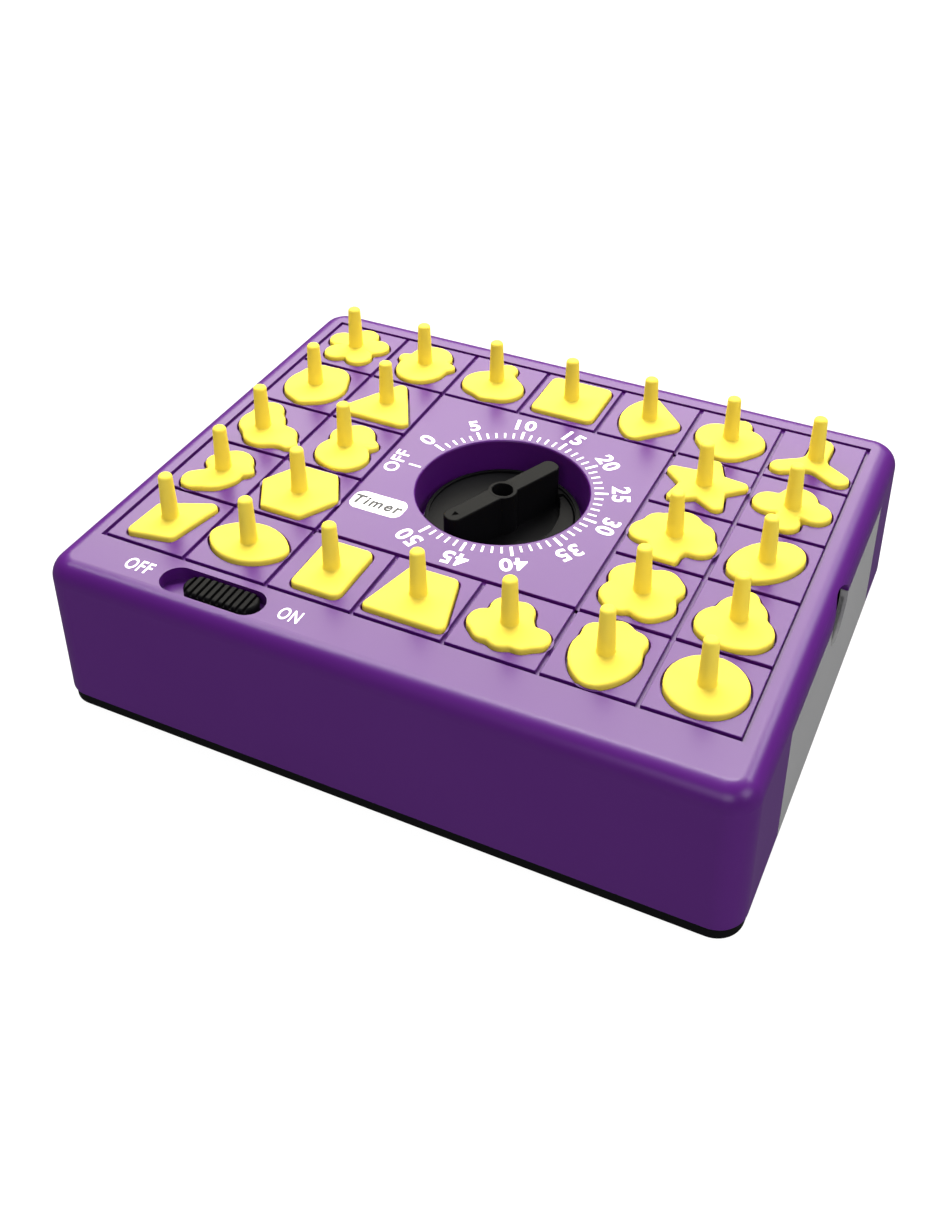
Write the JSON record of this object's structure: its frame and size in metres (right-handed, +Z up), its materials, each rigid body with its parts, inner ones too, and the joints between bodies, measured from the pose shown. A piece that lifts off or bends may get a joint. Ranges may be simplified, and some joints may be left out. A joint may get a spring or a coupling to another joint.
{
  "type": "shape-matching pop-up game",
  "caption": "Wind-up shape-matching game: a box with a pop-up tray of loose pegged pieces around a timer dial, a slide switch and a storage drawer.",
  "frame": {"origin": "middle of the underside of the base plate, seen along Z", "axes": "+X to the right along the front, towards the drawer; +Y to the back; +Z up"},
  "size_m": [0.229, 0.182, 0.0737],
  "materials": {
    "purple_case": "gloss",
    "yellow_piece": "satin",
    "black_plastic": "satin",
    "grey_drawer": "matte",
    "plated_steel": "satin",
    "brass_wheel": "satin"
  },
  "bodies": {
    "case": {"top_case": "purple_case", "base_plate": "black_plastic", "dial_panel": "purple_case", "timer_lower_plate": "plated_steel", "timer_upper_plate": "plated_steel", "mainspring": "plated_steel", "tray_spring_1": "plated_steel", "tray_spring_2": "plated_steel", "tray_spring_3": "plated_steel", "tray_spring_4": "plated_steel", "case_screw_1": "plated_steel", "case_screw_2": "plated_steel", "case_screw_3": "plated_steel", "case_screw_4": "plated_steel", "movement_screw_1": "plated_steel", "movement_screw_2": "plated_steel", "movement_screw_3": "plated_steel", "movement_screw_4": "plated_steel"},
    "tray": {"pop_up_tray": "purple_case"},
    "winding": {"timer_knob": "black_plastic", "main_arbor": "plated_steel", "main_wheel": "brass_wheel", "release_cam": "black_plastic"},
    "second_train": {"second_wheel": "brass_wheel"},
    "escape_train": {"escape_wheel": "brass_wheel"},
    "anchor": {"pallet": "plated_steel"},
    "catch": {"catch_slide": "plated_steel"},
    "switch": {"switch_slider": "black_plastic", "stop_link": "plated_steel"},
    "drawer": {"storage_drawer": "grey_drawer"},
    "loose_rhombus": {"piece_rhombus": "yellow_piece"},
    "loose_lens": {"piece_lens": "yellow_piece"},
    "loose_block": {"piece_block": "yellow_piece"},
    "loose_trapezoid": {"piece_trapezoid": "yellow_piece"},
    "loose_cloud": {"piece_cloud": "yellow_piece"},
    "loose_acorn": {"piece_acorn": "yellow_piece"},
    "loose_round": {"piece_round": "yellow_piece"},
    "loose_boot": {"piece_boot": "yellow_piece"},
    "loose_hexagon": {"piece_hexagon": "yellow_piece"},
    "loose_clover": {"piece_clover": "yellow_piece"},
    "loose_bell": {"piece_bell": "yellow_piece"},
    "loose_moon": {"piece_moon": "yellow_piece"},
    "loose_gourd": {"piece_gourd": "yellow_piece"},
    "loose_tree": {"piece_tree": "yellow_piece"},
    "loose_ellipse": {"piece_ellipse": "yellow_piece"},
    "loose_lemon": {"piece_lemon": "yellow_piece"},
    "loose_triangle": {"piece_triangle": "yellow_piece"},
    "loose_star": {"piece_star": "yellow_piece"},
    "loose_club": {"piece_club": "yellow_piece"},
    "loose_flower": {"piece_flower": "yellow_piece"},
    "loose_helmet": {"piece_helmet": "yellow_piece"},
    "loose_pear": {"piece_pear": "yellow_piece"},
    "loose_square": {"piece_square": "yellow_piece"},
    "loose_fan": {"piece_fan": "yellow_piece"},
    "loose_apple": {"piece_apple": "yellow_piece"},
    "loose_three_arm": {"piece_three_arm": "yellow_piece"}
  },
  "joints": [
    {"name": "tray_rise", "type": "slide", "parent": "case", "child": "tray", "axis": [0, 0, 1], "range_m": [0, 0.006], "deforming": ["tray_spring_1", "tray_spring_2", "tray_spring_3", "tray_spring_4"]},
    {"name": "timer_turn", "type": "hinge", "parent": "case", "child": "winding", "pos_m": [0, 0.005, 0.0396], "axis": [0, 0, 1], "range_deg": [0, 294.5]},
    {"name": "second_spin", "type": "hinge", "parent": "case", "child": "second_train", "pos_m": [-0.0174, -0.00311, 0.025], "axis": [0, 0, 1], "range_deg": [-1473.5, 0]},
    {"name": "escape_spin", "type": "hinge", "parent": "case", "child": "escape_train", "pos_m": [-0.03187, -0.00838, 0.012], "axis": [0, 0, 1], "range_deg": [0, 6627.25]},
    {"name": "pallet_rock", "type": "hinge", "parent": "case", "child": "anchor", "pos_m": [-0.03187, -0.02088, 0.012], "axis": [0, 0, 1], "range_deg": [-2.4, 2.4]},
    {"name": "catch_travel", "type": "slide", "parent": "case", "child": "catch", "axis": [1, 0, 0], "range_m": [-0.002, 0]},
    {"name": "switch_travel", "type": "slide", "parent": "case", "child": "switch", "axis": [1, 0, 0], "range_m": [-0.0062, 0]},
    {"name": "drawer_travel", "type": "slide", "parent": "case", "child": "drawer", "axis": [1, 0, 0], "range_m": [0, 0.055]},
    {"name": "lift_rhombus", "type": "slide", "parent": "tray", "child": "loose_rhombus", "axis": [0, 0, 1], "range_m": [0, 0.03]},
    {"name": "lift_lens", "type": "slide", "parent": "tray", "child": "loose_lens", "axis": [0, 0, 1], "range_m": [0, 0.03]},
    {"name": "lift_block", "type": "slide", "parent": "tray", "child": "loose_block", "axis": [0, 0, 1], "range_m": [0, 0.03]},
    {"name": "lift_trapezoid", "type": "slide", "parent": "tray", "child": "loose_trapezoid", "axis": [0, 0, 1], "range_m": [0, 0.03]},
    {"name": "lift_cloud", "type": "slide", "parent": "tray", "child": "loose_cloud", "axis": [0, 0, 1], "range_m": [0, 0.03]},
    {"name": "lift_acorn", "type": "slide", "parent": "tray", "child": "loose_acorn", "axis": [0, 0, 1], "range_m": [0, 0.03]},
    {"name": "lift_round", "type": "slide", "parent": "tray", "child": "loose_round", "axis": [0, 0, 1], "range_m": [0, 0.03]},
    {"name": "lift_boot", "type": "slide", "parent": "tray", "child": "loose_boot", "axis": [0, 0, 1], "range_m": [0, 0.03]},
    {"name": "lift_hexagon", "type": "slide", "parent": "tray", "child": "loose_hexagon", "axis": [0, 0, 1], "range_m": [0, 0.03]},
    {"name": "lift_clover", "type": "slide", "parent": "tray", "child": "loose_clover", "axis": [0, 0, 1], "range_m": [0, 0.03]},
    {"name": "lift_bell", "type": "slide", "parent": "tray", "child": "loose_bell", "axis": [0, 0, 1], "range_m": [0, 0.03]},
    {"name": "lift_moon", "type": "slide", "parent": "tray", "child": "loose_moon", "axis": [0, 0, 1], "range_m": [0, 0.03]},
    {"name": "lift_gourd", "type": "slide", "parent": "tray", "child": "loose_gourd", "axis": [0, 0, 1], "range_m": [0, 0.03]},
    {"name": "lift_tree", "type": "slide", "parent": "tray", "child": "loose_tree", "axis": [0, 0, 1], "range_m": [0, 0.03]},
    {"name": "lift_ellipse", "type": "slide", "parent": "tray", "child": "loose_ellipse", "axis": [0, 0, 1], "range_m": [0, 0.03]},
    {"name": "lift_lemon", "type": "slide", "parent": "tray", "child": "loose_lemon", "axis": [0, 0, 1], "range_m": [0, 0.03]},
    {"name": "lift_triangle", "type": "slide", "parent": "tray", "child": "loose_triangle", "axis": [0, 0, 1], "range_m": [0, 0.03]},
    {"name": "lift_star", "type": "slide", "parent": "tray", "child": "loose_star", "axis": [0, 0, 1], "range_m": [0, 0.03]},
    {"name": "lift_club", "type": "slide", "parent": "tray", "child": "loose_club", "axis": [0, 0, 1], "range_m": [0, 0.03]},
    {"name": "lift_flower", "type": "slide", "parent": "tray", "child": "loose_flower", "axis": [0, 0, 1], "range_m": [0, 0.03]},
    {"name": "lift_helmet", "type": "slide", "parent": "tray", "child": "loose_helmet", "axis": [0, 0, 1], "range_m": [0, 0.03]},
    {"name": "lift_pear", "type": "slide", "parent": "tray", "child": "loose_pear", "axis": [0, 0, 1], "range_m": [0, 0.03]},
    {"name": "lift_square", "type": "slide", "parent": "tray", "child": "loose_square", "axis": [0, 0, 1], "range_m": [0, 0.03]},
    {"name": "lift_fan", "type": "slide", "parent": "tray", "child": "loose_fan", "axis": [0, 0, 1], "range_m": [0, 0.03]},
    {"name": "lift_apple", "type": "slide", "parent": "tray", "child": "loose_apple", "axis": [0, 0, 1], "range_m": [0, 0.03]},
    {"name": "lift_three_arm", "type": "slide", "parent": "tray", "child": "loose_three_arm", "axis": [0, 0, 1], "range_m": [0, 0.03]}
  ],
  "couplings": [
    {"joint": "second_spin", "follows": "timer_turn", "ratio": -5},
    {"joint": "escape_spin", "follows": "timer_turn", "ratio": 22.5}
  ]
}
